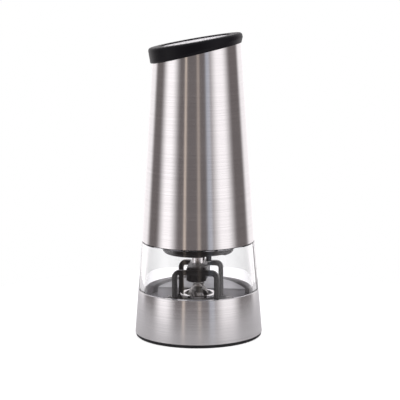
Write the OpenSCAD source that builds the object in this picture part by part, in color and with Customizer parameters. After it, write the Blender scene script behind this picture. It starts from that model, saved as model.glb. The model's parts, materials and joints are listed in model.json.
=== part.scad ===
// Battery pepper mill with a slanted push top.
// Millimetres. The origin is the centre of the base, on the surface that the mill stands on.
// +Z points up, and +X points to the high side of the slanted top.

/* [Body] */
// Radius of the steel base ring at its foot
foot_r = 41; // [40.8:0.1:41.2]
// Height of the steel base ring's top edge
ring_top_z = 30.3; // [30.2:0.1:30.4]
// Radius of the body at the base ring's top edge
ring_top_r = 38.8; // [38.7:0.1:39]
// Height of the steel sleeve's lower edge
sleeve_z = 61.8; // [61.7:0.1:62]
// Radius of the steel sleeve at its lower edge
sleeve_r = 36.1; // [36:0.1:36.4]
// Radius that the sleeve loses for each millimetre of height
sleeve_taper = 0.0655; // [0.064:0.0005:0.0665]
// Thickness of the sheet steel
steel_t = 0.8; // [0.6:0.1:0.8]

/* [Slanted top] */
// Height of the sleeve's slanted cut on the axis
cut_z = 182.25; // [182:0.25:183]
// Slant of the sleeve's cut, in degrees
cut_tilt = 13.06; // [12.8:0.02:13.2]
// Slant of the cap's top face, in degrees
cap_tilt = 9.75; // [9.5:0.05:10]
// Widest radius of the black cap ring
cap_r = 30.25; // [30:0.05:30.5]
// Radius of the silver push plate
push_r = 21.9; // [21.5:0.1:21.9]
// Travel of the push plate
push_travel = 1.5; // [1:0.1:1.6]

/* [Hopper] */
// Inner radius of the clear hopper at its bottom
hopper_in_low = 35.2; // [35:0.1:35.3]
// Inner radius of the clear hopper at its top
hopper_in_top = 32.9; // [32.8:0.1:33]
// Turn of the grinder and its trough about the axis, in degrees
mechanism_turn = 5.5; // [-10:0.5:10]
// Half width of the straight trough across the hopper floor
trough_half = 17.8; // [17.7:0.1:18.2]
// Height of the hopper floor's rim, at the hopper's wall
floor_rim_z = 29.7; // [29.4:0.1:29.9]
// Height of the floor's two sloped shelves at the trough
shelf_edge_z = 26; // [25.8:0.1:26.2]
// Height of the trough's floor
trough_z = 19.6; // [19.5:0.1:19.8]

/* [Grinder] */
// Height of the bracket's arms
arm_top_z = 45; // [44.6:0.1:45.2]
// Distance of the bracket's legs from the axis, along the arms
leg_x = 13.25; // [13:0.05:13.6]
// Distance of the bracket's legs from the axis, across the arms
leg_y = 16; // [15.8:0.1:16.1]
// Radius of the bright collar around the grinder
collar_r = 11.7; // [11.4:0.1:11.8]
// Radius of the drive shaft
shaft_r = 2.05; // [2:0.05:2.05]

/* [Gears] */
// Gear module of both planet stages
gear_module = 0.7; // [0.7:0.01:0.71]
// Face width of the planet gears
gear_width = 4.5; // [4:0.1:4.5]

/* [Battery pack] */
// Number of battery cells around the holder
cell_count = 6; // [4:1:6]
// Radius of one battery cell
cell_r = 5.2; // [5:0.05:5.25]
// Distance of the cells' axes from the mill's axis
cell_ring_r = 15.5; // [15.2:0.1:15.8]

/* [Hidden] */

$fn = 96;
far = 200;
steel = [0.78, 0.77, 0.76];
black = [0.09, 0.09, 0.1];
grey = [0.5, 0.5, 0.52];
silver = [0.85, 0.85, 0.87];
brass = [0.8, 0.65, 0.35];
clear = [0.85, 0.9, 0.95, 0.35];

// Fits between pieces
slip = 0.15;
running = 0.05;
seam = 0.1;

// Base
foot_h = 2.1;
foot_in_r = 36.2;
foot_out_r = 40.5;
spigot_r = 37.8;
spigot_z = 22;
seat_z = 17;
seat_t = 2;
chamber_r = 15;
chamber_z = 8;
chamber_t = 1.5;
cover_z = 5.2;
cover_t = 2;
cover_r = 35.9;
cavity_r = 35.2;
cover_post_r = 26;
cover_post_count = 3;
spoke_count = 3;
spoke_w = 3;
boss_r = 4.6;
screw_r = 1.05;
thread_r = 1.1;
clear_r = 1.4;
fixing_x = 19.5;
fixing_y = 7;

// Hopper
collar_top_z = 66.5;
hopper_collar_r = 34.5;
groove_h = 0.7;
groove_deep = 1;
groove_drop = 1;

// Grinder
burr_z = 13;
burr_top_z = 25.7;
burr_r = 10.2;
collar_t = 1.3;
rotor_top_z = 33;
hub_r = 6;
hub_z = 37.3;
hub_top_z = 46.1;
plate_t = 2;
plate_r = 23.5;
knob_r = 8;
knob_z = 1.5;
knob_h = 4;
pin_r = 1.6;
shaft_z = 12.6;
square_half = 1.9;
square_z = 47.1;
shaft_top_z = 55;

// Power unit
flange_z = 54.3;
flange_t = 1.8;
flange_r = 22.6;
neck_r = 15.8;
disc_z = 63;
disc_r = 32.5;
rest_r = 33.1;
rest_z = collar_top_z + seam;
rest_t = 2;
gearbox_z = 66;
gearbox_r = 21.5;
gearbox_top_z = 84.5;
gearbox_bore_r = 19.7;
case_floor_t = 2.2;
lid_t = 2;
lid_screw_r = 0.7;
lid_screw_ring = 20.6;
lid_screw_count = 3;
lid_screw_start = 30;
socket_r = 4.4;
socket_z = 46.9;
socket_bore_r = socket_r + 0.4;
bush_r = 5;
bush_way_r = bush_r + seam;
output_shaft_r = 3;
coupling_z = 60;
stalk_x = 6.9;
stalk_r = 1.75;
stalk_z = 48.2;
motor_z = gearbox_top_z + lid_t;
motor_h = 28;
motor_r = 12;
motor_shaft_r = 1;
end_cap_t = 2.5;
terminal_y = 7.5;
terminal_w = 2.6;
terminal_t = 0.5;
pillar_count = 3;
pillar_start = 60;
pillar_r = 3.2;
pillar_ring_r = 26.4;
pillar_top_z = 115.5;
pack_base_t = 2.5;
pack_base_r = 29.6;
pack_z = pillar_top_z + pack_base_t;
cell_h = 44.5;
cell_tip_r = 1.9;
cell_tip_h = 1.2;
strip_w = 6.8;
cell_z = pack_z + 2.4;
holder_h = 47.5;
pack_cap_z = pack_z + holder_h;
pack_cap_t = 3;
pack_cap_r = 22.5;
switch_x = 0.6;
switch_z = pack_cap_z + pack_cap_t;
switch_h = 6.4;
switch_w = 6.5;
switch_l = 12.8;
plunger_r = 1.4;
plunger_seat = 2;
plunger_z = switch_z + plunger_seat + push_travel + 0.2;
plunger_top_z = 177.3;

// Planet gears: 12-tooth sun, 18-tooth planets, 48-tooth ring, so each stage turns 5 to 1
sun_teeth = 12;
planet_teeth = 18;
ring_teeth = 48;
planet_count = 3;
planet_ring_r = gear_module * (sun_teeth + planet_teeth) / 2;
stage_z = [71.3, 78.4];
carrier_plate_t = 1.8;
carrier_r = 14;
carrier_gap = 0.3;
planet_pin_r = 1.2;

// Slanted top: u runs along the cap's face and w out of it, from cap_centre
cap_centre = [-0.95, 0, 187];
cap_face_w = 3.2;
cap_foot_x = -0.7;
cap_foot_r = 29.45;
cap_foot_slope = 0.5;
lip_low_w = -0.4;
lip_r = push_r + 0.3;
well_r = 24;
skirt_r = 26.6;
skirt_t = 2;
skirt_z = 170;
floor_w = -7;
floor_t = 1.5;
stem_r = 3;
stem_w = -9.2;
flange_low_w = -1.8;

function body_r(z) =
    z < ring_top_z
        ? foot_r + (ring_top_r - foot_r) * (z - foot_h) / (ring_top_z - foot_h)
        : z < sleeve_z
            ? ring_top_r + (sleeve_r - ring_top_r) * (z - ring_top_z) / (sleeve_z - ring_top_z)
            : sleeve_r - sleeve_taper * (z - sleeve_z);

function arc(cx, cy, r, from, to, steps) =
    [for (i = [0:steps]) let (a = from + (to - from) * i / steps) [cx + r * cos(a), cy + r * sin(a)]];

// ---- shared shapes ----

module revolve(outline) {
    rotate_extrude() polygon(outline);
}

module tube(outer, inner, z, h) {
    translate([0, 0, z]) difference() {
        cylinder(r = outer, h = h);
        translate([0, 0, -1]) cylinder(r = inner, h = h + 2);
    }
}

module disc(r, z, h) {
    translate([0, 0, z]) cylinder(r = r, h = h);
}

// Copies its children count times around the axis, at radius r
module around(count, r = 0, start = 0) {
    for (i = [0:count - 1])
        rotate([0, 0, start + 360 * i / count]) translate([r, 0, 0]) children();
}

// Everything above a plane that crosses the axis at height z and rises towards +X
module above_plane(z, tilt) {
    translate([0, 0, z]) rotate([0, -tilt, 0]) translate([-far, -far, 0]) cube(2 * far);
}

// Moves its children into the slanted frame of the cap
module on_cap() {
    translate(cap_centre) rotate([0, -cap_tilt, 0]) children();
}

module turned() {
    rotate([0, 0, mechanism_turn]) children();
}

// A pan-head screw that points down, with its head's underside at z = 0
module screw(head_r, head_h, shank_r, shank_h) {
    difference() {
        union() {
            cylinder(r = head_r, h = head_h);
            translate([0, 0, -shank_h]) cylinder(r = shank_r, h = shank_h + 0.01);
        }
        for (a = [0, 90])
            rotate([0, 0, a]) translate([-head_r * 0.6, -0.25, head_h * 0.5])
                cube([head_r * 1.2, 0.5, head_h]);
    }
}

// A round-wire compression spring that stands on z = 0
module coil(r, wire, turns, h) {
    sides = 8;
    steps = round(turns * 20);
    points = [
        for (i = [0:steps], j = [0:sides - 1])
            let (a = 360 * turns * i / steps, b = 360 * j / sides, ring = r + wire * cos(b))
                [ring * cos(a), ring * sin(a), wire + (h - 2 * wire) * i / steps + wire * sin(b)]
    ];
    walls = [
        for (i = [0:steps - 1], j = [0:sides - 1])
            let (k = (j + 1) % sides)
                [i * sides + j, (i + 1) * sides + j, (i + 1) * sides + k, i * sides + k]
    ];
    first = [for (j = [0:sides - 1]) j];
    last = [for (j = [sides - 1:-1:0]) steps * sides + j];
    polyhedron(points, concat([first, last], walls));
}

// Outline of a gear with straight-sided teeth. A negative direction gives a ring gear's hole.
function gear_outline(teeth, direction) =
    let (
        pitch_r = gear_module * teeth / 2,
        tip_r = pitch_r + direction * 0.85 * gear_module,
        root_r = pitch_r - direction * 1.1 * gear_module,
        half = 90 / teeth * 0.88,
        slope = tan(20) / pitch_r * 180 / PI,
        half_tip = half - 0.85 * gear_module * slope,
        half_root = half + 1.1 * gear_module * slope
    )
    [
        for (i = [0:teeth - 1], corner = [[root_r, -half_root], [tip_r, -half_tip],
                                          [tip_r, half_tip], [root_r, half_root]])
            let (a = 360 * i / teeth + corner[1]) corner[0] * [cos(a), sin(a)]
    ];

module gear(teeth, h, bore_r) {
    linear_extrude(h) difference() {
        polygon(gear_outline(teeth, 1));
        circle(r = bore_r, $fn = 32);
    }
}

module planet(stage, index) {
    angle = 360 * index / planet_count;
    rotate([0, 0, angle]) translate([planet_ring_r, 0, stage_z[stage]])
        rotate([0, 0, 180 / planet_teeth])
            gear(planet_teeth, gear_width, planet_pin_r + running);
}

module carrier_plate(stage) {
    plate_z = stage_z[stage] - carrier_gap - carrier_plate_t;
    disc(carrier_r, plate_z, carrier_plate_t);
    around(planet_count, planet_ring_r)
        disc(planet_pin_r, plate_z, carrier_plate_t + carrier_gap + gear_width);
}

// ---- base ----

module foot_ring() {
    color(black) revolve([
        [foot_in_r, 0], [foot_out_r - 0.6, 0], [foot_out_r, 0.5], [foot_out_r, foot_h],
        [foot_in_r, foot_h]
    ]);
}

module base_ring() {
    color(steel) revolve([
        [foot_r - steel_t, foot_h], [foot_r - 0.2, foot_h], [foot_r, foot_h + 0.2],
        [ring_top_r, ring_top_z - 0.2], [ring_top_r - 0.2, ring_top_z],
        [ring_top_r - steel_t, ring_top_z]
    ]);
}

module base_frame() {
    outer_low = foot_r - steel_t - slip;
    outer_top = body_r(spigot_z) - steel_t - slip;
    color(black) difference() {
        union() {
            revolve([
                [chamber_r, chamber_z], [chamber_r + chamber_t, chamber_z],
                [chamber_r + chamber_t, seat_z - seat_t], [cavity_r, seat_z - seat_t],
                [cavity_r, cover_z + cover_t], [cover_r + seam, cover_z + cover_t],
                [cover_r + seam, foot_h], [outer_low, foot_h], [outer_top, spigot_z],
                [hopper_in_low - slip, spigot_z], [hopper_in_low - slip, seat_z],
                [burr_r + running, seat_z], [burr_r + running, seat_z - seat_t],
                [chamber_r, seat_z - seat_t]
            ]);
            around(cover_post_count, cover_post_r)
                disc(3, cover_z + cover_t, seat_z - cover_z - cover_t);
            around(spoke_count, start = 60)
                translate([boss_r - 1, -spoke_w / 2, chamber_z])
                    cube([chamber_r - boss_r + 1.5, spoke_w, 2.4]);
            disc(boss_r, chamber_z - 0.4, 4);
        }
        disc(pin_r + running, chamber_z - 2, 8);
        around(cover_post_count, cover_post_r)
            disc(thread_r, cover_z, seat_z - seat_t - cover_z);
        turned() at_fixings() translate([0, 0, seat_z - seat_t - 1])
            cylinder(r = thread_r, h = 5);
    }
}

// Copies its children to the bracket's four screws
module at_fixings() {
    for (x = [-fixing_x, fixing_x], y = [-fixing_y, fixing_y]) translate([x, y, 0]) children();
}

module bottom_cover() {
    color(black) difference() {
        tube(cover_r, chamber_r + chamber_t + slip, cover_z, cover_t);
        around(cover_post_count, cover_post_r) disc(clear_r, cover_z - 1, cover_t + 2);
    }
}

module cover_screws() {
    color(silver) around(cover_post_count, cover_post_r)
        translate([0, 0, cover_z]) mirror([0, 0, 1]) screw(2.3, 1.3, screw_r, 9);
}

module hopper() {
    top_r = body_r(sleeve_z);
    color(clear) revolve([
        [hopper_in_low, spigot_z], [spigot_r, spigot_z], [spigot_r, ring_top_z + seam],
        [ring_top_r - 0.05, ring_top_z + seam], [top_r + 0.01, sleeve_z - 0.7],
        [top_r - 0.4, sleeve_z - 0.3], [hopper_collar_r, sleeve_z - 0.3],
        [hopper_collar_r, collar_top_z - 0.6], [hopper_collar_r - 0.5, collar_top_z],
        [hopper_in_top, collar_top_z], [hopper_in_top, sleeve_z - 0.7],
        [hopper_in_low, ring_top_z + seam]
    ]);
}

// A wedge that rises outwards, taken off the floor to leave a sloped shelf
module shelf_cut(side) {
    slope = (floor_rim_z - shelf_edge_z) / (hopper_in_low - trough_half);
    inner = trough_half - 1;
    outer = hopper_in_low + 1;
    translate([-far / 2, 0, 0]) rotate([90, 0, 90]) linear_extrude(far)
        polygon([
            [side * inner, shelf_edge_z - slope],
            [side * outer, shelf_edge_z + (outer - trough_half) * slope],
            [side * outer, 40], [side * inner, 40]
        ]);
}

module hopper_floor() {
    color(grey) turned() difference() {
        disc(hopper_in_low - slip - seam, seat_z, floor_rim_z - seat_z);
        translate([-far / 2, -trough_half, trough_z]) cube([far, 2 * trough_half, 20]);
        for (side = [-1, 1])
            translate([-far / 2, side * trough_half - groove_deep, shelf_edge_z - groove_drop])
                cube([far, 2 * groove_deep, groove_h]);
        shelf_cut(1);
        shelf_cut(-1);
        disc(burr_r + running, seat_z - 1, 20);
        at_fixings() disc(thread_r, seat_z - 1, 5);
    }
}

// Front view of one arch: two legs and the arm that joins them, with rounded corners
module arch_outline(half_w, top, corner) {
    translate([-half_w, 0]) square([2 * half_w, top - corner]);
    translate([-half_w + corner, 0]) square([2 * (half_w - corner), top]);
    for (x = [-1, 1]) translate([x * (half_w - corner), top - corner]) circle(r = corner);
}

module arch() {
    leg_w = 3.1;
    depth = 3;
    h = arm_top_z - trough_z;
    translate([0, depth / 2, trough_z]) rotate([90, 0, 0]) linear_extrude(depth) difference() {
        arch_outline(leg_x + leg_w / 2, h, 4.5);
        translate([0, -1]) arch_outline(leg_x - leg_w / 2, h - leg_w + 1, 1.6);
    }
}

module grinder_bracket() {
    hub_h = hub_top_z - hub_z;
    hub_y = leg_y - hub_r + 0.6;
    color(black) turned() difference() {
        union() {
            intersection() {
                disc(plate_r, trough_z, plate_t);
                translate([-far / 2, -trough_half + slip, 0])
                    cube([far, 2 * (trough_half - slip), far]);
            }
            for (y = [-leg_y, leg_y]) translate([0, y, 0]) arch();
            for (y = [-hub_y, hub_y]) translate([0, y, 0]) disc(hub_r, hub_z, hub_h);
            translate([-hub_r, -hub_y, hub_z]) cube([2 * hub_r, 2 * hub_y, hub_h]);
            for (side = [-1, 1], a = [-62, 0, 62])
                translate([0, side * hub_y, hub_z + 0.4]) rotate([0, 0, side * 90 + a])
                    translate([hub_r - 1, -0.9, 0]) cube([1.55, 1.8, hub_h - 0.8]);
        }
        disc(shaft_r + running, hub_z - 1, 20);
        disc(collar_r + 0.6, trough_z - 1, 6);
        at_fixings() disc(clear_r, trough_z - 1, plate_t + 2);
    }
}

module bracket_screws() {
    color(silver) turned() at_fixings()
        translate([0, 0, trough_z + plate_t]) screw(2.2, 1.3, screw_r, 6);
}

module outer_burr() {
    teeth = 18;
    color([0.35, 0.34, 0.33]) difference() {
        revolve([
            [8.25, burr_z], [burr_r, burr_z], [burr_r, burr_top_z], [8.9, burr_top_z],
            [7.6, 20]
        ]);
        around(teeth, 7.95) translate([0, 0, burr_z - 0.5]) rotate([0, -5, 0])
            cylinder(r = 0.5, h = 9, $fn = 4);
    }
}

module burr_collar() {
    color(silver) revolve([
        [9.1, burr_top_z], [collar_r, burr_top_z], [collar_r, burr_top_z + collar_t - 0.3],
        [collar_r - 0.3, burr_top_z + collar_t], [9.4, burr_top_z + collar_t],
        [9.1, burr_top_z + collar_t - 0.3]
    ]);
}

// ---- coarseness adjuster and drive ----

module coarseness_knob() {
    color(black) difference() {
        union() {
            disc(knob_r - 0.6, knob_z, knob_h);
            around(24, knob_r - 0.6) disc(0.6, knob_z, knob_h);
        }
        disc(pin_r + running, knob_z + 1.2, knob_h);
        for (a = [0:60:120]) rotate([0, 0, a])
            translate([-knob_r + 2.5, -0.5, knob_z - 1]) cube([2 * knob_r - 5, 1, 1.5]);
    }
}

module thrust_pin() {
    color(silver) disc(pin_r, knob_z + 1.3, shaft_z - knob_z - 1.3 - seam);
}

module drive_shaft() {
    color(silver) {
        disc(shaft_r, shaft_z, square_z - shaft_z);
        intersection() {
            translate([-square_half, -square_half, square_z - 0.01])
                cube([2 * square_half, 2 * square_half, shaft_top_z - square_z]);
            disc(2.5, square_z - 1, shaft_top_z - square_z + 1);
        }
    }
}

module inner_burr() {
    feed_grooves = 5;
    fine_grooves = 16;
    color([0.55, 0.54, 0.53]) difference() {
        revolve([
            [shaft_r, burr_z], [8, burr_z], [7, 20], [6.9, 26.2], [6.2, 28.2],
            [4.6, 30.6], [3.6, 31.8], [3.4, rotor_top_z], [shaft_r, rotor_top_z]
        ]);
        around(feed_grooves, 7.2) translate([0, 0, 19.5]) rotate([24, -14, 0])
            cylinder(r = 1.7, h = 16, $fn = 24);
        around(fine_grooves, 8.25) translate([0, 0, burr_z - 1]) rotate([0, -8, 0])
            cylinder(r = 0.55, h = 7.5, $fn = 4);
    }
}

module burr_spring() {
    color(silver) translate([0, 0, rotor_top_z + 0.05])
        coil(3.6, 0.45, 3, hub_z - rotor_top_z - 0.35);
}

// ---- power unit ----

module chassis() {
    color(black) difference() {
        union() {
            revolve([
                [socket_bore_r, flange_z], [flange_r - 0.8, flange_z],
                [flange_r, flange_z + 0.8], [flange_r, flange_z + flange_t],
                [neck_r, flange_z + flange_t], [neck_r, disc_z], [disc_r - 0.5, disc_z],
                [disc_r, disc_z + 0.5], [disc_r, disc_z + 1], [disc_r - 1, disc_z + 1],
                [disc_r - 1, disc_z + 2.4], [disc_r, disc_z + 2.4], [disc_r, rest_z],
                [rest_r, rest_z], [rest_r, rest_z + rest_t],
                [gearbox_r + 2, rest_z + rest_t], [gearbox_r + 2, gearbox_top_z],
                [gearbox_r + seam, gearbox_top_z], [gearbox_r + seam, gearbox_z],
                [bush_way_r, gearbox_z], [bush_way_r, disc_z], [socket_bore_r, disc_z]
            ]);
            around(pillar_count, pillar_ring_r, pillar_start)
                disc(pillar_r, rest_z + rest_t - 1, pillar_top_z - rest_z - rest_t + 1);
            rotate([0, 0, -12]) translate([18, -2.6, flange_z + flange_t - 0.1])
                cube([3.2, 5.2, disc_z - flange_z - flange_t + 0.2]);
        }
        translate([stalk_x, 0, flange_z - 1]) cylinder(r = stalk_r, h = 6);
        rotate([0, 0, -28]) translate([15.5, -far / 2, flange_z - 1])
            cube([far, far / 2, 1.9]);
        around(pillar_count, pillar_ring_r, pillar_start) disc(thread_r, pillar_top_z - 10, 12);
    }
}

module seal_ring() {
    color([0.3, 0.3, 0.3]) tube(disc_r + 0.25, disc_r - 0.95, disc_z + 1.1, 1.2);
}

module light_stalk() {
    color(black) translate([stalk_x, 0, 0]) tube(stalk_r, 0.8, stalk_z, flange_z + 4.5 - stalk_z);
}

module light_lens() {
    rim_r = stalk_r - slip;
    color([0.95, 0.95, 0.9]) translate([stalk_x, 0, stalk_z]) revolve([
        [0, -1], [rim_r - 0.7, -1], [rim_r, -0.4], [rim_r, 0], [0, 0]
    ]);
}

module gearbox_case() {
    color([0.75, 0.75, 0.72]) difference() {
        revolve([
            [bush_way_r, gearbox_z], [gearbox_r, gearbox_z], [gearbox_r, gearbox_top_z],
            [gearbox_bore_r, gearbox_top_z], [gearbox_bore_r, gearbox_z + case_floor_t],
            [bush_way_r, gearbox_z + case_floor_t]
        ]);
        around(lid_screw_count, lid_screw_ring, lid_screw_start) disc(lid_screw_r, gearbox_top_z - 5, 6);
    }
}

module ring_gear() {
    color([0.85, 0.83, 0.78]) translate([0, 0, gearbox_z + 2.3])
        linear_extrude(gearbox_top_z - gearbox_z - 2.5) difference() {
            circle(r = gearbox_bore_r - slip);
            polygon(gear_outline(ring_teeth, -1));
        }
}

module output_bush() {
    color(brass)
        tube(bush_r, output_shaft_r + running, disc_z + seam, gearbox_z + case_floor_t - disc_z - seam);
}

module gearbox_lid() {
    color([0.75, 0.75, 0.72]) difference() {
        disc(gearbox_r, gearbox_top_z, lid_t);
        disc(bush_r, gearbox_top_z - 1, lid_t + 2);
        around(lid_screw_count, lid_screw_ring, lid_screw_start)
            disc(lid_screw_r + 0.1, gearbox_top_z - 1, lid_t + 2);
    }
}

module lid_screws() {
    color(silver) around(lid_screw_count, lid_screw_ring, lid_screw_start)
        translate([0, 0, gearbox_top_z + lid_t]) screw(1.3, 0.9, lid_screw_r - 0.05, 6);
}

module motor_can() {
    color(silver) difference() {
        union() {
            disc(motor_r, motor_z, motor_h);
            disc(4.9, motor_z - 1.5, 2);
        }
        disc(motor_r - 0.8, motor_z + 0.8, motor_h);
        disc(motor_shaft_r + running, motor_z - 2, 4);
    }
}

module motor_end_cap() {
    color([0.9, 0.9, 0.88]) difference() {
        union() {
            disc(motor_r - 0.9, motor_z + motor_h - end_cap_t, end_cap_t);
            disc(3.2, motor_z + motor_h - end_cap_t, 3.2);
        }
        disc(motor_shaft_r + running, motor_z + motor_h - 3, 2.4);
        for (y = [-terminal_y, terminal_y])
            translate([-terminal_w / 2, y - terminal_t / 2, motor_z + motor_h - 3])
                cube([terminal_w, terminal_t, 4]);
    }
}

module motor_terminals() {
    color(brass) for (y = [-terminal_y, terminal_y])
        translate([-terminal_w / 2, y - terminal_t / 2, motor_z + motor_h - end_cap_t])
            cube([terminal_w, terminal_t, 3.3]);
}

module battery_base() {
    color(black) difference() {
        disc(pack_base_r, pillar_top_z, pack_base_t);
        around(pillar_count, pillar_ring_r, pillar_start)
            disc(clear_r, pillar_top_z - 1, pack_base_t + 2);
        disc(3, pillar_top_z - 1, pack_base_t + 2);
    }
}

module battery_base_screws() {
    color(silver) around(pillar_count, pillar_ring_r, pillar_start) translate([0, 0, pack_z])
        screw(2.4, 1.4, screw_r, 11);
}

module battery_holder() {
    color([0.16, 0.16, 0.17]) difference() {
        disc(cell_ring_r + cell_r - 1.4, pack_z, holder_h);
        disc(3.5, pack_z - 1, holder_h + 2);
        around(cell_count, cell_ring_r) disc(cell_r + 0.2, pack_z - 1, holder_h + 2);
    }
}

module battery_cells() {
    color([0.75, 0.35, 0.2]) around(cell_count, cell_ring_r) {
        disc(cell_r, cell_z, cell_h - cell_tip_h);
        disc(cell_tip_r, cell_z, cell_h);
    }
}

module contact_springs() {
    color(silver) around(cell_count, cell_ring_r) translate([0, 0, pack_z + 0.35])
        coil(2.6, 0.25, 1.5, cell_z - pack_z - 0.4);
}

module contact_strips() {
    strip_t = 0.3;
    color(silver) for (z = [pack_z, pack_cap_z - strip_t])
        around(cell_count, cell_ring_r) translate([-strip_w / 2, -strip_w / 2, z])
            cube([strip_w, strip_w, strip_t]);
}

module battery_cap() {
    color(black) difference() {
        disc(pack_cap_r, pack_cap_z, pack_cap_t);
        around(2, 14, 90) disc(clear_r, pack_cap_z - 1, pack_cap_t + 2);
    }
}

module switch_body() {
    color([0.2, 0.2, 0.22]) difference() {
        translate([switch_x - switch_w / 2, -switch_l / 2, switch_z])
            cube([switch_w, switch_l, switch_h]);
        translate([switch_x, 0, switch_z + plunger_seat])
            cylinder(r = plunger_r + running, h = switch_h);
    }
}

module switch_plunger() {
    color([0.75, 0.2, 0.15]) translate([switch_x, 0, plunger_z])
        cylinder(r = plunger_r, h = plunger_top_z - plunger_z);
}

module output_carrier() {
    color([0.8, 0.8, 0.78]) {
        carrier_plate(0);
        disc(
            output_shaft_r, coupling_z,
            stage_z[0] - carrier_gap - carrier_plate_t - coupling_z + seam
        );
    }
}

module drive_socket() {
    color(silver) difference() {
        union() {
            disc(socket_r - 0.5, socket_z, 0.6);
            disc(socket_r, socket_z + 0.5, coupling_z - socket_z - 0.5);
        }
        translate([-square_half - slip, -square_half - slip, socket_z - 1])
            cube([2 * (square_half + slip), 2 * (square_half + slip), 10]);
        disc(2.65, socket_z - 1, 10);
    }
}

module output_planet_1() { color([0.92, 0.9, 0.85]) planet(0, 0); }
module output_planet_2() { color([0.92, 0.9, 0.85]) planet(0, 1); }
module output_planet_3() { color([0.92, 0.9, 0.85]) planet(0, 2); }
module first_planet_1() { color([0.92, 0.9, 0.85]) planet(1, 0); }
module first_planet_2() { color([0.92, 0.9, 0.85]) planet(1, 1); }
module first_planet_3() { color([0.92, 0.9, 0.85]) planet(1, 2); }

module first_carrier() {
    plate_z = stage_z[1] - carrier_gap - carrier_plate_t;
    color([0.8, 0.8, 0.78]) {
        carrier_plate(1);
        translate([0, 0, stage_z[0]]) linear_extrude(plate_z - stage_z[0] + 0.1)
            polygon(gear_outline(sun_teeth, 1));
    }
}

module sun_gear() {
    color(brass) translate([0, 0, stage_z[1]]) gear(sun_teeth, gear_width, motor_shaft_r);
}

module motor_shaft() {
    color(silver) disc(motor_shaft_r, stage_z[1], motor_z + motor_h - 1 - stage_z[1]);
}

module armature() {
    slots = 3;
    color([0.5, 0.3, 0.2]) translate([0, 0, motor_z + 4]) linear_extrude(18) difference() {
        circle(r = 8.6);
        circle(r = motor_shaft_r, $fn = 32);
        for (i = [0:slots - 1]) rotate(i * 360 / slots) translate([4.5, -0.8]) square([6, 1.6]);
    }
}

// ---- sleeve and slanted top ----

module steel_sleeve() {
    top_z = 195;
    color(steel) difference() {
        revolve([
            [sleeve_r - steel_t, sleeve_z], [sleeve_r - 0.2, sleeve_z],
            [body_r(sleeve_z + 0.2), sleeve_z + 0.2], [body_r(top_z), top_z],
            [body_r(top_z) - steel_t, top_z]
        ]);
        above_plane(cut_z, cut_tilt);
    }
}

module sleeve_liner() {
    liner_t = 1.2;
    low = collar_top_z + 1;
    top = 168;
    color(black) revolve([
        [body_r(low) - steel_t - slip - liner_t, low], [body_r(low) - steel_t - slip, low],
        [body_r(top) - steel_t - slip, top], [body_r(top) - steel_t - slip - liner_t, top]
    ]);
}

// A cone that stands on the sleeve's cut and bevels the cap's lower edge
module cap_foot() {
    h = 40;
    flare = 10;
    wide_r = cap_foot_r + cap_foot_slope * flare;
    translate([cap_foot_x, 0, cut_z + cap_foot_x * tan(cut_tilt)]) rotate([0, -cut_tilt, 0])
        revolve([[0, 0], [cap_foot_r, 0], [wide_r, flare], [wide_r, h], [0, h]]);
}

module cap_ring() {
    round_r = 1.8;
    color(black) difference() {
        union() {
            intersection() {
                on_cap() revolve(concat(
                    [[well_r, lip_low_w], [lip_r, lip_low_w], [lip_r, cap_face_w - 1],
                     [lip_r + 1, cap_face_w]],
                    arc(cap_r - 0.05 - round_r, cap_face_w - round_r, round_r, 90, 0, 8),
                    [[cap_r, 0], [cap_r, -9], [well_r, -9]]
                ));
                cap_foot();
            }
            intersection() {
                disc(skirt_r, skirt_z, 20);
                on_cap() disc(far, -20, 19);
            }
        }
        disc(skirt_r - skirt_t, skirt_z - 1, cut_z - skirt_z - 2);
        on_cap() disc(well_r, -20, lip_low_w + 20);
    }
}

module cap_floor() {
    color(black) on_cap() tube(well_r - seam, stem_r + 0.4, floor_w, floor_t);
}

module push_plate() {
    face_w = cap_face_w - 0.7;
    rings = [6, 10, 14, 18];
    color(silver) on_cap() difference() {
        revolve([
            [0, 1.2], [push_r, 1.2], [push_r, face_w - 0.4], [push_r - 0.4, face_w],
            [0, face_w]
        ]);
        for (r = rings) tube(r + 0.35, r - 0.35, face_w - 0.25, 1);
    }
}

module push_carrier() {
    color(black) on_cap() revolve([
        [0, stem_w], [stem_r - 0.4, stem_w], [stem_r, stem_w + 0.4], [stem_r, flange_low_w],
        [well_r - 0.6, flange_low_w], [well_r - 0.6, lip_low_w - 0.1],
        [push_r - seam, lip_low_w - 0.1], [push_r - seam, 1.2], [0, 1.2]
    ]);
}

module push_springs() {
    color(silver) on_cap() around(3, 17, 30) translate([0, 0, floor_w + floor_t + 0.05])
        coil(2.2, 0.3, 3, flange_low_w - floor_w - floor_t - 0.1);
}

foot_ring();
base_ring();
base_frame();
bottom_cover();
cover_screws();
hopper();
hopper_floor();
grinder_bracket();
bracket_screws();
outer_burr();
burr_collar();
coarseness_knob();
thrust_pin();
drive_shaft();
inner_burr();
burr_spring();
chassis();
seal_ring();
light_stalk();
light_lens();
gearbox_case();
ring_gear();
output_bush();
gearbox_lid();
lid_screws();
motor_can();
motor_end_cap();
motor_terminals();
battery_base();
battery_base_screws();
battery_holder();
battery_cells();
contact_springs();
contact_strips();
battery_cap();
switch_body();
switch_plunger();
output_carrier();
drive_socket();
output_planet_1();
output_planet_2();
output_planet_3();
first_carrier();
first_planet_1();
first_planet_2();
first_planet_3();
motor_shaft();
armature();
sun_gear();
steel_sleeve();
sleeve_liner();
cap_ring();
cap_floor();
push_plate();
push_carrier();
push_springs();
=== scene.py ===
import json
import math

import bmesh
import bpy
from mathutils import Matrix, Vector


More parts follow.
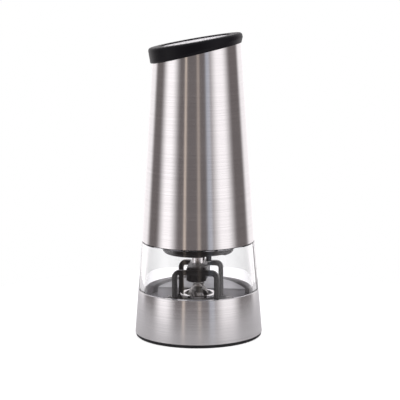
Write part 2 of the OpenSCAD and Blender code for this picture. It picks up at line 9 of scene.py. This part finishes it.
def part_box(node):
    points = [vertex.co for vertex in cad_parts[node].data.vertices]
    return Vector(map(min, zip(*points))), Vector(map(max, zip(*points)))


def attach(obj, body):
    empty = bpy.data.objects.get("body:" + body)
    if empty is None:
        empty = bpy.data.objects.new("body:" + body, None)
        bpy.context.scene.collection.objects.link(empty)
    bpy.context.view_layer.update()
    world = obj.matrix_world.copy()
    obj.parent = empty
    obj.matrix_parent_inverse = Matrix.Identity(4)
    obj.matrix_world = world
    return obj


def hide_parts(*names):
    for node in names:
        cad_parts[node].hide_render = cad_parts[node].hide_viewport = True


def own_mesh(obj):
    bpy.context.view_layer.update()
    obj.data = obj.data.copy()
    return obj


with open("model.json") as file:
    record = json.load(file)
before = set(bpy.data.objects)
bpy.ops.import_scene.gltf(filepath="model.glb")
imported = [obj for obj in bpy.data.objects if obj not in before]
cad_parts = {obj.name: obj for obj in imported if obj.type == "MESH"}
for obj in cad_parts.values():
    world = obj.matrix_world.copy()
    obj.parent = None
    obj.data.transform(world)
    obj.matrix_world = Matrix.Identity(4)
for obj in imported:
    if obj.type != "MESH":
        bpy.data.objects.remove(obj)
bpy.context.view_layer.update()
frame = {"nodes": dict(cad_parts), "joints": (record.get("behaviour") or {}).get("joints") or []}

# A battery pepper mill with a slanted push top, on a white studio floor.
# Metres, in the CAD frame: the origin is the centre of the base, +Z is up, and +X is the high
# side of the slanted top.
scene = bpy.context.scene
nodes = frame["nodes"]
MM = 0.001
WHITE = (1, 1, 1)
BLACK = (0, 0, 0)

# ---- camera and floor ----

CAMERA_TURN = math.radians(11.9)
CAMERA_PITCH = math.radians(9.83)
CAMERA_ROLL = math.radians(-0.3)
CAMERA_DISTANCE = 1.155
CAMERA_HEIGHT = 0.2878
CAMERA_ASIDE = 0.0013
CAMERA_LENS, CAMERA_SENSOR = 164.6, 36  # both in millimetres
CAMERA_NEAR, CAMERA_FAR = 0.05, 10
FLOOR_RADIUS = 0.2
FLOOR_GREY = (0.9, 0.89, 0.89)
FLOOR_ROUGH = 0.7
FLOOR_GLOW = 0.65


def make_camera():
    data = bpy.data.cameras.new("camera")
    data.lens = CAMERA_LENS
    data.sensor_width = CAMERA_SENSOR
    data.clip_start = CAMERA_NEAR
    data.clip_end = CAMERA_FAR
    camera = bpy.data.objects.new("camera", data)
    scene.collection.objects.link(camera)
    right = Vector((math.cos(CAMERA_TURN), math.sin(CAMERA_TURN), 0))
    back = Vector((math.sin(CAMERA_TURN), -math.cos(CAMERA_TURN), 0))
    place = back * CAMERA_DISTANCE + right * CAMERA_ASIDE + Vector((0, 0, CAMERA_HEIGHT))
    turn = (
        Matrix.Rotation(CAMERA_TURN, 4, "Z")
        @ Matrix.Rotation(math.pi / 2 - CAMERA_PITCH, 4, "X")
        @ Matrix.Rotation(CAMERA_ROLL, 4, "Z")
    )
    camera.matrix_world = Matrix.Translation(place) @ turn
    scene.camera = camera


def make_floor():
    """A round floor that looks white to the camera and is a pale grey to the mill."""
    mesh = bpy.data.meshes.new("studio_floor")
    bm = bmesh.new()
    bmesh.ops.create_circle(bm, cap_ends=True, segments=96, radius=FLOOR_RADIUS)
    bm.to_mesh(mesh)
    bm.free()
    floor = bpy.data.objects.new("studio_floor", mesh)
    scene.collection.objects.link(floor)
    m = Material("studio_floor")
    m.put(Base_Color=FLOOR_GREY, Roughness=FLOOR_ROUGH, Emission_Color=WHITE)
    m.put(Emission_Strength=m.maths("MULTIPLY", seen_directly(m), FLOOR_GLOW))
    mesh.materials.append(m.material)


# ---- studio light ----

NEUTRAL = (1, 0.98, 1)
WARM = (1, 0.84, 0.7)
COOL = (0.85, 0.94, 1.1)
# The upright soft lights around the mill, as
# (degrees from the camera to its right, half width, soft edge, strength, tint).
LIGHTS = [
    (-69, 4, 25, 1.22, NEUTRAL),
    (57, 5, 29, 1.15, NEUTRAL),
    (180, 47, 18, 1.0, NEUTRAL),
    (-28, 1, 3, 0.6, WARM),
    (2, 1, 4, 0.3, WARM),
    (25, 2, 6, 0.4, COOL),
]
ROOM = (0.19, 0.168, 0.168)
OVERHEAD = (0.7, 0.7, 0.73)
# Where the light overhead starts and where it is full, as the Z of a direction one unit long.
OVERHEAD_START, OVERHEAD_FULL = 0.3, 0.7


def seen_directly(tree):
    """1 for what the camera sees, also through clear plastic, and 0 for light and reflections."""
    path = tree.add("ShaderNodeLightPath")
    bounces = tree.maths("ADD", path.outputs["Glossy Depth"], path.outputs["Diffuse Depth"])
    straight = tree.maths("LESS_THAN", bounces, 0.5)
    through = tree.maths("MULTIPLY", path.outputs["Is Transmission Ray"], straight)
    return tree.maths("MAXIMUM", path.outputs["Is Camera Ray"], through)


def upright_light(tree, angle, centre, half_width, edge):
    """1 in the middle of a light, falling smoothly to 0 at its sides."""
    aside = tree.maths("SUBTRACT", angle, math.radians(centre))
    away = tree.maths("ABSOLUTE", tree.maths("WRAP", aside, math.pi, -math.pi))
    light = tree.add("ShaderNodeMapRange", interpolation_type="SMOOTHSTEP")
    tree.set(light.inputs["Value"], away)
    light.inputs["From Min"].default_value = math.radians(half_width)
    light.inputs["From Max"].default_value = math.radians(half_width + edge)
    light.inputs["To Min"].default_value = 1
    light.inputs["To Max"].default_value = 0
    return light.outputs["Result"]


def make_world():
    """A dark room with soft lights around the mill and overhead, and white behind it."""
    world = bpy.data.worlds.new("studio")
    scene.world = world
    world.use_nodes = True
    tree = Tree(world.node_tree)
    tree.nodes.clear()
    turned = tree.add("ShaderNodeVectorRotate", rotation_type="Z_AXIS")
    tree.join(tree.add("ShaderNodeTexCoord").outputs["Generated"], turned.inputs["Vector"])
    turned.inputs["Angle"].default_value = -CAMERA_TURN
    x, y, z = tree.parts(turned.outputs["Vector"])
    angle = tree.maths("ARCTAN2", x, tree.maths("MULTIPLY", y, -1))
    around = ROOM
    for centre, half_width, edge, strength, tint in LIGHTS:
        light = upright_light(tree, angle, centre, half_width, edge)
        around = tree.mix(light, around, shade(tint, strength), blend="ADD")
    height = tree.ramp(z, [(OVERHEAD_START, BLACK), (OVERHEAD_FULL, WHITE)])
    sky = tree.mix(height, around, OVERHEAD)
    background = tree.add("ShaderNodeBackground")
    tree.join(tree.mix(seen_directly(tree), sky, WHITE), background.inputs["Color"])
    output = tree.add("ShaderNodeOutputWorld")
    tree.join(background.outputs["Background"], output.inputs["Surface"])


# ---- node tools ----

# Where most of a noise texture's values lie.
NOISE_LOW, NOISE_HIGH = 0.3, 0.7


class Tree:
    """Short calls for the nodes that the materials and the world share."""

    def __init__(self, node_tree):
        self.nodes = node_tree.nodes
        self.links = node_tree.links

    def add(self, kind, **settings):
        node = self.nodes.new(kind)
        for name, value in settings.items():
            setattr(node, name, value)
        return node

    def join(self, source, target):
        self.links.new(source, target)

    def set(self, socket, value):
        if isinstance(value, bpy.types.NodeSocket):
            self.join(value, socket)
        elif isinstance(value, tuple) and len(value) == 3 and socket.type == "RGBA":
            socket.default_value = (*value, 1)
        else:
            socket.default_value = value

    def maths(self, operation, *values):
        node = self.add("ShaderNodeMath", operation=operation)
        for socket, value in zip(node.inputs, values):
            self.set(socket, value)
        return node.outputs["Value"]

    def parts(self, vector):
        node = self.add("ShaderNodeSeparateXYZ")
        self.join(vector, node.inputs["Vector"])
        return node.outputs["X"], node.outputs["Y"], node.outputs["Z"]

    def place(self):
        """A point's coordinates on its own piece."""
        return self.add("ShaderNodeTexCoord").outputs["Object"]

    def mix(self, factor, a, b, blend="MIX"):
        node = self.add("ShaderNodeMix", data_type="RGBA", blend_type=blend)
        self.set(node.inputs[0], factor)
        self.set(node.inputs[6], a)
        self.set(node.inputs[7], b)
        return node.outputs[2]

    def ramp(self, factor, stops):
        node = self.add("ShaderNodeValToRGB")
        elements = node.color_ramp.elements
        while len(elements) < len(stops):
            elements.new(0.5)
        for element, (position, _) in zip(elements, stops):
            element.position = position
        for element, (_, colour) in zip(elements, stops):
            element.color = (*colour, 1)
        self.set(node.inputs["Fac"], factor)
        return node.outputs["Color"]

    def noise(self, stretch, detail=2.0, rough=0.5):
        """Noise on the piece; stretch is its features per metre, along X, Y and Z or all alike."""
        mapping = self.add("ShaderNodeMapping")
        self.join(self.place(), mapping.inputs["Vector"])
        each_way = stretch if isinstance(stretch, tuple) else (stretch,) * 3
        mapping.inputs["Scale"].default_value = each_way
        node = self.add("ShaderNodeTexNoise")
        self.join(mapping.outputs["Vector"], node.inputs["Vector"])
        node.inputs["Scale"].default_value = 1
        node.inputs["Detail"].default_value = detail
        node.inputs["Roughness"].default_value = rough
        return node.outputs["Fac"]

    def between(self, noise, low, high):
        """Spreads a noise over low to high."""
        node = self.add("ShaderNodeMapRange")
        self.set(node.inputs["Value"], noise)
        node.inputs["From Min"].default_value = NOISE_LOW
        node.inputs["From Max"].default_value = NOISE_HIGH
        node.inputs["To Min"].default_value = low
        node.inputs["To Max"].default_value = high
        return node.outputs["Result"]

    def varied(self, noise, colour, dark, light):
        """A colour that a noise makes darker and lighter."""
        return self.mix(self.between(noise, 0, 1), shade(colour, dark), shade(colour, light))

    def bump(self, height, depth):
        node = self.add("ShaderNodeBump")
        node.inputs["Strength"].default_value = 1
        node.inputs["Distance"].default_value = depth
        self.set(node.inputs["Height"], height)
        return node.outputs["Normal"]


class Material(Tree):
    """A material with one Principled shader, kept as bsdf."""

    def __init__(self, name):
        self.material = bpy.data.materials.new(name)
        self.material.use_nodes = True
        super().__init__(self.material.node_tree)
        self.bsdf = self.nodes["Principled BSDF"]

    def put(self, **values):
        for name, value in values.items():
            self.set(self.bsdf.inputs[name.replace("_", " ")], value)


def shade(colour, by):
    return tuple(c * by for c in colour)


# ---- materials ----

BRUSH_LINES = 1800  # a metre
BRUSH_DEPTH = 0.0013 * MM
SPUN_RING = 0.22 * MM
SPUN_DEPTH = 0.003 * MM
SKIN_GRAIN = 2500  # a metre
SKIN_DEPTH = 0.003 * MM
CELL_GREEN = (0.05, 0.16, 0.08)
CELL_BARE = (0.6, 0.6, 0.6)
# Where the cells' wrap starts and ends, as shares of their length, and how fast the colour changes.
WRAP_START, WRAP_END, WRAP_EDGE = 0.015, 0.974, 0.002


def brushed(name, colour, rough):
    """Metal brushed around the Z axis: fine lines that run round and a highlight that runs up."""
    m = Material(name)
    lines = m.noise((5, 5, BRUSH_LINES), detail=3, rough=0.65)
    fine = m.noise((15, 15, BRUSH_LINES * 4))
    cloud = m.noise((25, 25, 40))
    both = m.maths("MULTIPLY_ADD", fine, 0.4, m.maths("MULTIPLY", lines, 0.6))
    along = m.between(lines, rough * 0.9, rough * 1.1)
    tangent = m.add("ShaderNodeTangent", direction_type="RADIAL", axis="Z")
    m.join(tangent.outputs["Tangent"], m.bsdf.inputs["Tangent"])
    m.put(Base_Color=m.varied(both, colour, 0.84, 1.08), Metallic=1.0)
    m.put(Roughness=m.maths("ADD", along, m.between(cloud, -0.02, 0.02)))
    m.put(Normal=m.bump(both, BRUSH_DEPTH), Anisotropic=0.8, Anisotropic_Rotation=0.25)
    return m.material


def spun_face(name, colour, rough):
    """Metal turned on a lathe: fine rings about the middle of the push plate's slanted face."""
    m = Material(name)
    low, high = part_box("push_plate")
    inward = next(j["axis"] for j in frame["joints"] if j["name"] == "push_slide")
    away = m.add("ShaderNodeVectorMath", operation="SUBTRACT")
    m.join(m.place(), away.inputs[0])
    away.inputs[1].default_value = (low + high) / 2
    level = m.add("ShaderNodeVectorRotate", rotation_type="Y_AXIS")
    m.join(away.outputs["Vector"], level.inputs["Vector"])
    level.inputs["Angle"].default_value = math.atan2(inward[0], -inward[2])
    x, y, _ = m.parts(level.outputs["Vector"])
    radius = m.maths("SQRT", m.maths("MULTIPLY_ADD", x, x, m.maths("MULTIPLY", y, y)))
    rings = m.add("ShaderNodeTexNoise", noise_dimensions="1D")
    m.join(m.maths("DIVIDE", radius, SPUN_RING), rings.inputs["W"])
    rings.inputs["Scale"].default_value = 1
    marks = rings.outputs["Fac"]
    m.put(Base_Color=m.varied(marks, colour, 0.9, 1.05), Metallic=1.0)
    m.put(Roughness=m.between(marks, rough * 0.85, rough * 1.15))
    m.put(Normal=m.bump(marks, SPUN_DEPTH))
    return m.material


def metal(name, colour, rough, spots=900, depth=0.004 * MM):
    """Turned or pressed metal with small marks."""
    m = Material(name)
    marks = m.noise(spots, detail=4, rough=0.6)
    cloud = m.noise(spots / 12)
    m.put(Base_Color=m.varied(cloud, colour, 0.9, 1.06), Metallic=1.0)
    m.put(Roughness=m.between(marks, rough * 0.75, rough * 1.3), Normal=m.bump(marks, depth))
    return m.material


def moulded(name, colour, rough, gloss=0.5):
    """Moulded plastic or rubber with a fine skin texture and slight unevenness."""
    m = Material(name)
    skin = m.noise(SKIN_GRAIN, detail=3, rough=0.6)
    cloud = m.noise(60)
    fine = m.between(skin, rough * 0.9, rough * 1.1)
    m.put(Base_Color=m.varied(cloud, colour, 0.85, 1.15), Specular_IOR_Level=gloss)
    m.put(Roughness=m.maths("ADD", fine, m.between(cloud, -0.03, 0.03)))
    m.put(Normal=m.bump(skin, SKIN_DEPTH))
    return m.material


def clear_acrylic(name):
    """Clear moulded plastic that lets the studio's light in to what it covers."""
    m = Material(name)
    wear = m.bump(m.noise(300, detail=3), 0.0008 * MM)
    m.put(Base_Color=(0.985, 0.985, 0.99), Roughness=0.0, IOR=1.49, Transmission_Weight=1.0)
    m.put(Normal=wear, Specular_IOR_Level=0.3)
    path = m.add("ShaderNodeLightPath")
    lit = m.maths("MAXIMUM", path.outputs["Is Shadow Ray"], path.outputs["Is Diffuse Ray"])
    both = m.add("ShaderNodeMixShader")
    m.join(lit, both.inputs[0])
    m.join(m.bsdf.outputs["BSDF"], both.inputs[1])
    m.join(m.add("ShaderNodeBsdfTransparent").outputs["BSDF"], both.inputs[2])
    m.join(both.outputs["Shader"], m.nodes["Material Output"].inputs["Surface"])
    return m.material


def cell_wrap(name):
    """A plain one-colour battery sleeve between bare metal ends."""
    m = Material(name)
    _, _, z = m.parts(m.place())
    low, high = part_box("battery_cells")
    share = m.maths("DIVIDE", m.maths("SUBTRACT", z, low.z), high.z - low.z)
    stops = [
        (0, CELL_BARE),
        (WRAP_START, CELL_BARE),
        (WRAP_START + WRAP_EDGE, CELL_GREEN),
        (WRAP_END - WRAP_EDGE, CELL_GREEN),
        (WRAP_END, CELL_BARE),
        (1, CELL_BARE),
    ]
    m.put(Base_Color=m.ramp(share, stops), Metallic=0.35, Coat_Weight=0.5, Coat_Roughness=0.1)
    m.put(Roughness=m.between(m.noise(900), 0.25, 0.4))
    return m.material


def lens_plastic(name):
    """Frosted clear plastic."""
    m = Material(name)
    frost = m.noise(3000)
    m.put(Base_Color=(0.95, 0.95, 0.9), Roughness=m.between(frost, 0.2, 0.35), IOR=1.5)
    m.put(Transmission_Weight=0.6, Normal=m.bump(frost, SKIN_DEPTH))
    return m.material


# Each of the record's material slots: how it is made, its colour, its roughness, and what else.
FINISHES = {
    "brushed_steel": (brushed, (0.74, 0.725, 0.725), 0.17),
    "clear_plastic": (clear_acrylic,),
    "black_plastic": (moulded, (0.005, 0.0045, 0.007), 0.45, 0.16),
    "bracket_plastic": (moulded, (0.004, 0.004, 0.005), 0.3, 0.2),
    "floor_plastic": (moulded, (0.82, 0.81, 0.84), 0.33),
    "push_silver": (spun_face, (0.78, 0.78, 0.8), 0.28),
    "foot_rubber": (moulded, (0.008, 0.008, 0.009), 0.6),
    "bright_steel": (metal, (0.72, 0.71, 0.7), 0.2),
    "burr_steel": (metal, (0.42, 0.41, 0.4), 0.3, 1500, 0.02 * MM),
    "collar_steel": (metal, (0.8, 0.79, 0.78), 0.16),
    "spring_steel": (metal, (0.65, 0.64, 0.63), 0.22),
    "gear_nylon": (moulded, (0.72, 0.69, 0.6), 0.4),
    "case_plastic": (moulded, (0.5, 0.5, 0.48), 0.45),
    "brass": (metal, (0.75, 0.55, 0.25), 0.25),
    "zinc": (metal, (0.6, 0.6, 0.6), 0.35),
    "cell_wrap": (cell_wrap,),
    "seal_rubber": (moulded, (0.05, 0.05, 0.05), 0.55),
    "lens": (lens_plastic,),
    "switch_plastic": (moulded, (0.03, 0.03, 0.035), 0.4),
    "plunger_red": (moulded, (0.5, 0.03, 0.02), 0.35),
    "motor_core": (metal, (0.55, 0.25, 0.12), 0.4),
}


def make_materials():
    return {slot: maker(slot, *look) for slot, (maker, *look) in FINISHES.items()}


def dress():
    """Gives every CAD node the finished material of its slot."""
    for node in nodes.values():
        for slot in node.material_slots:
            slot.material = materials[slot.material.name.split(".")[0]]


# ---- pieces with finer shapes than their CAD nodes ----

BRACKET_ROUND = 0.55 * MM
BRACKET_WELD = 0.002 * MM
SAME_FACE = math.radians(0.5)
SHARP_EDGE = math.radians(30)
SHARP_SHADING = math.radians(40)
SPRING_WIRE = 0.45 * MM
SPRING_TURNS = 4.5
SPRING_END_TURNS = 0.75
SPRING_END_PITCH = 2.2 * SPRING_WIRE
SPRING_STEPS_A_TURN = 48
SPRING_SIDES = 14


def stand_for(piece, node, body, slot):
    """Puts a piece in the scene in place of a CAD node."""
    scene.collection.objects.link(piece)
    piece.data.materials.clear()
    piece.data.materials.append(materials[slot])
    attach(piece, body)
    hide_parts(node)


def in_fixed_order(bm):
    """A bmesh's points and faces in an order that doesn't change from run to run."""
    points = sorted(bm.verts, key=lambda v: tuple(v.co))
    number = {v: i for i, v in enumerate(points)}
    faces = []
    for face in bm.faces:
        corners = [number[v] for v in face.verts]
        first = corners.index(min(corners))
        faces.append(corners[first:] + corners[:first])
    return [tuple(v.co) for v in points], [], sorted(faces)


def rounded_bracket():
    """The bracket over the burr, with its sharp edges rounded."""
    bm = bmesh.new()
    bm.from_mesh(nodes["grinder_bracket"].data)
    bmesh.ops.remove_doubles(bm, verts=bm.verts, dist=BRACKET_WELD)
    bmesh.ops.dissolve_limit(bm, angle_limit=SAME_FACE, verts=bm.verts, edges=bm.edges)
    edges = [e for e in bm.edges if e.is_manifold and e.calc_face_angle() > SHARP_EDGE]
    bmesh.ops.bevel(
        bm, geom=edges, offset=BRACKET_ROUND, offset_type="OFFSET", segments=3, profile=0.5,
        affect="EDGES", clamp_overlap=True,
    )
    bmesh.ops.triangulate(bm, faces=bm.faces)
    mesh = bpy.data.meshes.new("bracket_rounded")
    mesh.from_pydata(*in_fixed_order(bm))
    bm.free()
    mesh.shade_smooth()
    mesh.set_sharp_from_angle(angle=SHARP_SHADING)
    piece = bpy.data.objects.new("bracket_rounded", mesh)
    stand_for(piece, "grinder_bracket", "base", "bracket_plastic")


def burr_spring_wire():
    """A wire wound into a compression spring with closed ends, filling its CAD node's box."""
    low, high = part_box("burr_spring")
    middle = (low + high) / 2
    ring = (high.x - low.x) / 2 - SPRING_WIRE
    bottom, top = low.z + SPRING_WIRE, high.z - SPRING_WIRE
    closed = SPRING_END_TURNS * SPRING_END_PITCH

    def wire_height(turn):
        if turn <= SPRING_END_TURNS:
            return bottom + turn * SPRING_END_PITCH
        if turn > SPRING_TURNS - SPRING_END_TURNS:
            return top - (SPRING_TURNS - turn) * SPRING_END_PITCH
        share = (turn - SPRING_END_TURNS) / (SPRING_TURNS - 2 * SPRING_END_TURNS)
        return bottom + closed + share * (top - bottom - 2 * closed)

    bm = bmesh.new()
    steps = int(SPRING_TURNS * SPRING_STEPS_A_TURN)
    rows = []
    for i in range(steps + 1):
        turn = SPRING_TURNS * i / steps
        z = wire_height(turn)
        a = 2 * math.pi * turn
        row = []
        for k in range(SPRING_SIDES):
            b = 2 * math.pi * k / SPRING_SIDES
            r = ring + SPRING_WIRE * math.cos(b)
            x, y = middle.x + r * math.cos(a), middle.y + r * math.sin(a)
            row.append(bm.verts.new((x, y, z + SPRING_WIRE * math.sin(b))))
        rows.append(row)
    for one, two in zip(rows, rows[1:]):
        for k in range(SPRING_SIDES):
            after = (k + 1) % SPRING_SIDES
            bm.faces.new((one[k], two[k], two[after], one[after]))
    bm.faces.new(rows[0])
    bm.faces.new(rows[-1][::-1])
    bmesh.ops.recalc_face_normals(bm, faces=bm.faces)
    for face in bm.faces:
        face.smooth = len(face.verts) == 4
    mesh = bpy.data.meshes.new("burr_spring_wire")
    bm.to_mesh(mesh)
    bm.free()
    piece = bpy.data.objects.new("burr_spring_wire", mesh)
    stand_for(piece, "burr_spring", "drive", "spring_steel")


def push_spring_coils():
    """The three springs under the push plate, as one smooth-shaded piece."""
    mesh = nodes["push_springs"].data.copy()
    for polygon in mesh.polygons:
        polygon.use_smooth = True
    piece = bpy.data.objects.new("push_spring_coils", mesh)
    stand_for(piece, "push_springs", "sleeve", "spring_steel")
    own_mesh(piece)


scene.view_settings.view_transform = "Standard"
make_camera()
make_floor()
make_world()
materials = make_materials()
dress()
push_spring_coils()
rounded_bracket()
burr_spring_wire()
